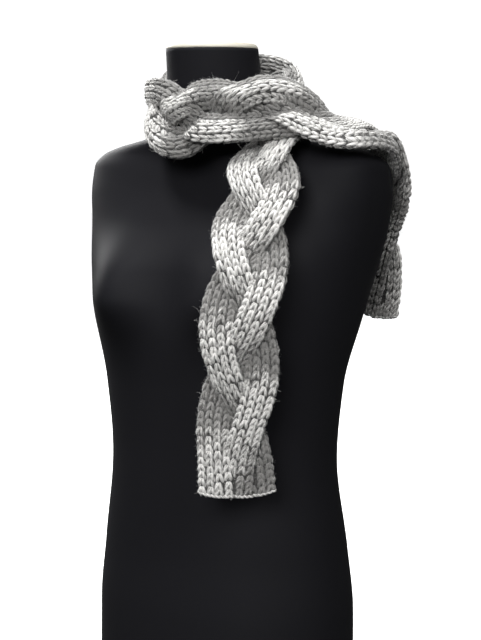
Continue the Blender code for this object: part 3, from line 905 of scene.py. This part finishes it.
def stitch_table(knit, settings, start, end):
    """One row for each stitch of a stretch that shows: distance along, strand, place round its core."""
    row = settings.row_height
    rows = np.arange(int(round(knit.strip.length / row)))
    along = (rows + 0.5) * knit.strip.length / len(rows)
    along = along[(along >= start) & (along < end)]
    arcs = (np.arange(KNIT_COLUMNS) + 0.5) * knit.section.perimeter / KNIT_COLUMNS
    table = [axis.ravel() for axis in np.meshgrid(along, np.arange(STRANDS), arcs, indexing="ij")]
    shows = ~knit.buried(*table, settings.yarn_radius)
    return [column[shows] for column in table]


def stitch_legs(knit, settings, table, random):
    """Two yarn legs a stitch, plump in the middle, that meet at its point and spread towards its tails.

    A leg lies at row * (start - length * t) along, gap + spread * t^1.1 to its side and
    arch * sin(pi * t^0.8) - sink * t^2 out.  Stitches low in the braid or deep in the band's fold are
    darker: painted shade.
    """
    along, strand, arc = (np.repeat(column, 2) for column in table)
    side = np.tile((-1.0, 1.0), len(table[0]))
    count = len(side)
    jitter = random.normal(0, 1, (count, 6))
    together = np.repeat(random.normal(0, 1, (len(table[0]), 3)), 2, axis=0)
    t = LEG_WAY
    row = settings.row_height
    phase = STRAND_PHASE * strand + ROUND_PHASE * arc
    drift = sum(share * np.sin(2 * np.pi * along / wave + turn * phase) for share, wave, turn in WANDERS)
    path = np.empty((count, len(t), 3))
    reach = 1 + LENGTH_UNEVENNESS * jitter[:, :1]
    path[..., 0] = (along + row * drift)[:, None] + row * (LEG_START - LEG_LENGTH * t * reach)
    path[..., 0] += STITCH_SHIFT * together[:, :1]
    path[..., 0] += LEG_SHIFT * jitter[:, 1:2]
    spread = LEG_GAP + LEG_SPREAD * t**1.1 * (1 + YARN_UNEVENNESS * jitter[:, 2:3])
    path[..., 1] = arc[:, None] + side[:, None] * spread + LEG_SHIFT * together[:, 1:2]
    path[..., 2] = LEG_ARCH * np.sin(np.pi * t**0.8) - LEG_SINK * t**2
    path[..., 2] += OUT_SHIFT * together[:, 2:] + OUT_SHIFT * jitter[:, 3:4]
    plump = settings.yarn_radius * (1 + YARN_UNEVENNESS * jitter[:, 4:5])
    radii = plump * np.sin(np.pi * (LEG_BLUNTNESS + (1 - 2 * LEG_BLUNTNESS) * t[1:-1]))**0.6
    points = tubes(path, radii, YARN_SIDES, YARN_LEAN)
    onward, across, height = knit.local(along, strand, arc, 0)
    # painted shade mask: how low a stitch lies in the braid's hollows
    hollow_shading = 1 - np.clip((np.abs(height) - SUNK_HEIGHT) / (CREST_HEIGHT - SUNK_HEIGHT), 0, 1)
    # painted shade mask: how deep a stitch lies in the band's fold, on its outer side
    fold_shading = roll(onward, knit.strip.locate(onward, across)[2]) / ROLL_DEPTH * (height > 0)
    tone = STITCH_TONE + 0.05 * jitter[:, 5] + 0.07 * together[:, 0]
    # painted shade: stitches low in the braid's hollows and deep in the band's fold get a darker tone
    tone = tone - HOLLOW_PAINTED_SHADE * hollow_shading - FOLD_PAINTED_SHADE * fold_shading**2
    return knit.place(strand[:, None], points), np.clip(tone, 0, 1)


def hem_legs(knit, settings, along, slant, random):
    """The edge of a hem: short yarn legs that lie across it one after the other, as in a twisted cord.

    A leg lies at slant * (t - 1/2) along, span * (t - 1/2) round the strand and arch * sin(pi * t) out.
    """
    arcs = (np.arange(2 * KNIT_COLUMNS) + 0.5) * knit.section.perimeter / (2 * KNIT_COLUMNS)
    strand, arc = (axis.ravel() for axis in np.meshgrid(np.arange(STRANDS), arcs, indexing="ij"))
    count = len(arc)
    t = LEG_WAY
    jitter = random.normal(0, 1, (count, 3))
    path = np.empty((count, len(t), 3))
    path[..., 0] = along + slant * (t - 0.5) + 0.00015 * jitter[:, :1]
    path[..., 1] = arc[:, None] + HEM_LEG_SPAN * (t - 0.5)
    path[..., 2] = HEM_LEG_ARCH * np.sin(np.pi * t) - 0.0002 + 0.0001 * jitter[:, 1:2]
    plump = HEM_LEG_YARN * settings.yarn_radius * (1 + LENGTH_UNEVENNESS * jitter[:, 2:3])
    radii = plump * np.sqrt(np.sin(np.pi * (0.1 + 0.8 * t[1:-1])))
    points = tubes(path, radii, YARN_SIDES, YARN_LEAN)
    tone = HEM_TONE + 0.06 * random.normal(0, 1, count)
    return knit.place(strand[:, None], points), np.clip(tone, 0, 1)


def halo_fibres(knit, settings, table, count, random):
    """Loose fibres that leave a stitch, curl and thin out.

    A fibre is root + length * (way * t + curl * t^2 + wave * sin(5.5 * t)), shorter on the inner side.
    """
    pick = random.integers(0, len(table[0]), count)
    along, strand, arc = (column[pick] for column in table)
    arc = arc + random.uniform(-FIBRE_SCATTER, FIBRE_SCATTER, count)
    along = along + random.uniform(-FIBRE_SCATTER, FIBRE_SCATTER, count)
    looks_out = knit.section.read(arc, 1.0)[1] > 0
    reach = settings.halo_length * random.uniform(0.25, 1, count)**1.6 * np.where(looks_out, 1, 0.4)
    way = unit(random.normal(0, 1, (count, 3)) * (1, 1, 0.35) + (0, 0, 0.55))
    way[:, 2] = np.abs(way[:, 2])
    curl = HALO_CURL * unit(random.normal(0, 1, (count, 3)))
    wave = HALO_WAVE * unit(random.normal(0, 1, (count, 3)))
    t = HALO_WAY[None, :, None]
    bend = way[:, None] * t + curl[:, None] * t**2 + wave[:, None] * np.sin(5.5 * t)
    root = np.stack((along, arc, np.full(count, 0.8 * settings.yarn_radius)), axis=-1)[:, None]
    path = root + reach[:, None, None] * bend
    path[..., 2] = np.maximum(path[..., 2], 0.4 * settings.yarn_radius)
    radii = np.tile(FIBRE_RADIUS * (1 - 0.5 * HALO_WAY[1:-1]), (count, 1))
    points = tubes(path, radii, HALO_SIDES, ODD_WAY)
    tone = 0.75 + 0.2 * random.normal(0, 1, count)
    return knit.place(strand[:, None], points), np.clip(tone, 0, 1)


def fuzz_fibres(knit, settings, table, count, random):
    """Short fibres: thin closed spikes with a base of three points and a tip length * way from it."""
    pick = random.integers(0, len(table[0]), count)
    along, strand, arc = (column[pick] for column in table)
    along, arc = np.stack((along, arc)) + random.uniform(-FUZZ_SCATTER, FUZZ_SCATTER, (count, 2)).T
    root = np.stack((along, arc, np.full(count, 0.55 * settings.yarn_radius)), axis=-1)
    way = unit(random.normal(0, 1, (count, 3)) * (1, 1, 0.4) + (0, 0, 0.9))
    way[:, 2] = np.abs(way[:, 2])
    reach = settings.halo_length * random.uniform(*FUZZ_LENGTHS, count)
    across = unit(np.cross(way, ODD_WAY))
    beside = np.cross(way, across)
    turn = np.arange(3)[:, None] * 2 * np.pi / 3
    ring = np.cos(turn) * across[:, None] + np.sin(turn) * beside[:, None]
    tip = root + reach[:, None] * way
    points = np.concatenate((root[:, None] + FIBRE_RADIUS * ring, tip[:, None]), axis=1)
    tone = 0.7 + 0.25 * random.normal(0, 1, count)
    return knit.place(strand[:, None], points), np.clip(tone, 0, 1)


def add_spikes(name, points, material, tone):
    """Adds many spikes as one piece: the base and three sides of each."""
    sides = np.array(((0, 1, 2), (0, 3, 1), (1, 3, 2), (2, 3, 0)))
    faces = (np.arange(len(points))[:, None, None] * 4 + sides).reshape(-1, 3).tolist()
    return add_piece(name, points, faces, material, tone=np.repeat(tone, 4))


# ------------------------------------------------------------------ operators

class SCARF_OT_form(Operator):
    """Build the dress form's jersey cover and the cap on its neck"""

    bl_idname = "scarf.form"
    bl_label = "Dress Form"

    def execute(self, context):
        settings = context.scene.dress_form
        rings = form_rings()
        levels = rings[:, 0, 2]
        cut = int(np.searchsorted(levels, FORM_HEIGHT - settings.cap_height))
        if not 0 < cut < len(rings) - 2:
            raise RuntimeError("the cap on the neck is too deep or too shallow")
        cover = rings[:cut + 1]
        faces = grid_faces(*cover.shape[:2])
        corners = ring_corners(*cover.shape[:2])
        cover = add_piece("form_cover", cover, faces, cover_material(settings), corners)
        cap = rings[cut:]
        cap = add_piece("neck_cap", cap, grid_faces(*cap.shape[:2]), cap_material(settings))
        for piece in (cover, cap):
            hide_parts("dress_form")
            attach(piece, "root")
        return {"FINISHED"}


class SCARF_OT_knit(Operator):
    """Build the scarf: strand cores, yarn stitches, hem edges and loose fibres of each stretch"""

    bl_idname = "scarf.knit"
    bl_label = "Knit Scarf"

    def execute(self, context):
        settings = context.scene.knit_scarf
        knit = Knit()
        random = np.random.default_rng(settings.seed)
        yarn = yarn_material("heathered_yarn", settings, 1.0, True)
        # the cores' dark yarn is painted shade between the stitches
        shaded_ground = yarn_material("ground_yarn", settings, CORE_PAINTED_SHADE, False)
        fibre = halo_material(settings)
        for name, start, end, width in STRETCHES:
            end = knit.strip.length if end is None else end
            cores = core_points(knit, start, end)
            rows, points = cores.shape[1:3]
            firsts = range(0, STRANDS * rows * points, rows * points)
            faces = grid_faces(rows, points)
            faces = [[point + first for point in face] for first in firsts for face in faces]
            core = add_piece(f"{name}_core", cores, faces, shaded_ground)
            table = stitch_table(knit, settings, start, end)
            if not len(table[0]):
                raise RuntimeError(f"no stitch of {name} shows")
            legs, tone = stitch_legs(knit, settings, table, random)
            stitches = [add_tubes(f"{name}_stitches", legs, LEG_WAY, YARN_SIDES, yarn, tone)]
            if name in HEMS:
                past, slant = HEMS[name]
                hem, tone = hem_legs(knit, settings, (end if start else start) + past, slant, random)
                stitches.append(add_tubes(f"{name}_hem", hem, LEG_WAY, YARN_SIDES, yarn, tone))
            count = int(settings.halo_count * (end - start) / knit.strip.length)
            fibres, tone = halo_fibres(knit, settings, table, count, random)
            halo = add_tubes(f"{name}_halo", fibres, HALO_WAY, HALO_SIDES, fibre, tone)
            count = int(settings.fuzz_count * (end - start) / knit.strip.length)
            spikes, tone = fuzz_fibres(knit, settings, table, count, random)
            fuzz = add_spikes(f"{name}_fuzz", spikes, fibre, tone)
            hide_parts(f"scarf_{name}")
            for piece in (core, halo, fuzz, *stitches):
                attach(piece, "root")
        return {"FINISHED"}


class SCARF_OT_stage(Operator):
    """Build the floor, the backdrop, the lights and the camera"""

    bl_idname = "scarf.stage"
    bl_label = "Studio"

    def execute(self, context):
        settings = context.scene.studio
        turn = np.arange(CIRCLE_POINTS) * 2 * np.pi / CIRCLE_POINTS
        ring = np.stack((np.cos(turn), np.sin(turn), 0 * turn), axis=-1)
        paint = plain_material("pale_floor", settings.floor_colour, 0.93)
        floor = add_piece("floor", FLOOR_RADIUS * ring, [list(range(CIRCLE_POINTS))], paint)
        wall = ring[None] * np.array(WALL_RADII)[:, None, None]
        wall[..., 2] = np.array(WALL_LIFTS)[:, None]
        paint = plain_material("pale_backdrop", settings.floor_colour, 1.0)
        backdrop = add_piece("backdrop", wall, grid_faces(len(WALL_LIFTS), CIRCLE_POINTS, True), paint)
        for surface in (floor, backdrop):
            surface.visible_diffuse = False
            surface.visible_glossy = False
        backdrop.visible_shadow = False
        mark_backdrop(floor, backdrop)
        for name, (place, size) in LIGHTS.items():
            self.light(name, getattr(settings, f"{name}_power"), Vector(place), size)
        world = bpy.data.worlds.new("room")
        world.use_nodes = True
        background = world.node_tree.nodes["Background"]
        background.inputs["Color"].default_value = (1, 1, 1, 1)
        background.inputs["Strength"].default_value = settings.room_light
        context.scene.world = world
        context.scene.view_settings.view_transform = "Standard"
        self.camera(context.scene, settings.lens)
        return {"FINISHED"}

    def light(self, name, power, place, size):
        """A square soft light aimed at the upper part of the form."""
        lamp = bpy.data.lights.new(name, "AREA")
        lamp.energy = power
        lamp.size = size
        carrier = bpy.data.objects.new(name, lamp)
        carrier.location = place
        carrier.rotation_euler = (LIGHTS_AIM - place).to_track_quat("-Z", "Y").to_euler()
        bpy.context.scene.collection.objects.link(carrier)

    def camera(self, scene, lens):
        """A camera part of the way round to the form's left, a little above its chest."""
        ahead = np.array((-np.sin(CAMERA_BEARING), np.cos(CAMERA_BEARING)))
        right = np.array((np.cos(CAMERA_BEARING), np.sin(CAMERA_BEARING)))
        place = Vector((*(-CAMERA_DISTANCE * ahead), CAMERA_HEIGHT))
        aim = Vector((*(AIM_ASIDE * right), AIM_HEIGHT))
        camera = bpy.data.cameras.new("camera")
        camera.lens = lens
        camera.sensor_width = 36
        carrier = bpy.data.objects.new("camera", camera)
        carrier.location = place
        carrier.rotation_euler = (aim - place).to_track_quat("-Z", "Y").to_euler()
        scene.collection.objects.link(carrier)
        scene.camera = carrier


class SCARF_PT_panel(Panel):
    """Lists the scarf's builders and their settings"""

    bl_idname = "SCARF_PT_panel"
    bl_label = "Knit Scarf"
    bl_space_type = "VIEW_3D"
    bl_region_type = "UI"
    bl_category = "Knit Scarf"

    def draw(self, context):
        for (group, settings), operator in zip(SETTINGS.items(), OPERATORS):
            column = self.layout.column(align=True)
            column.operator(operator.bl_idname)
            for name in settings.__annotations__:
                column.prop(getattr(context.scene, group), name)


SETTINGS = {"dress_form": FormSettings, "knit_scarf": ScarfSettings, "studio": StageSettings}
OPERATORS = (SCARF_OT_form, SCARF_OT_knit, SCARF_OT_stage)
CLASSES = (*SETTINGS.values(), *OPERATORS, SCARF_PT_panel)


def register():
    for item in CLASSES:
        bpy.utils.register_class(item)
    for name, group in SETTINGS.items():
        setattr(bpy.types.Scene, name, PointerProperty(type=group))


def unregister():
    for name in SETTINGS:
        delattr(bpy.types.Scene, name)
    for item in reversed(CLASSES):
        bpy.utils.unregister_class(item)


def main():
    """Builds everything in order."""
    register()
    bpy.ops.scarf.form()
    bpy.ops.scarf.knit()
    bpy.ops.scarf.stage()
    boxes = {"cad": CAD_BOX, "visual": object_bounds()}
    sizes = {name: [list(corner) for corner in box] for name, box in boxes.items()}


if __name__ == "__main__":
    main()
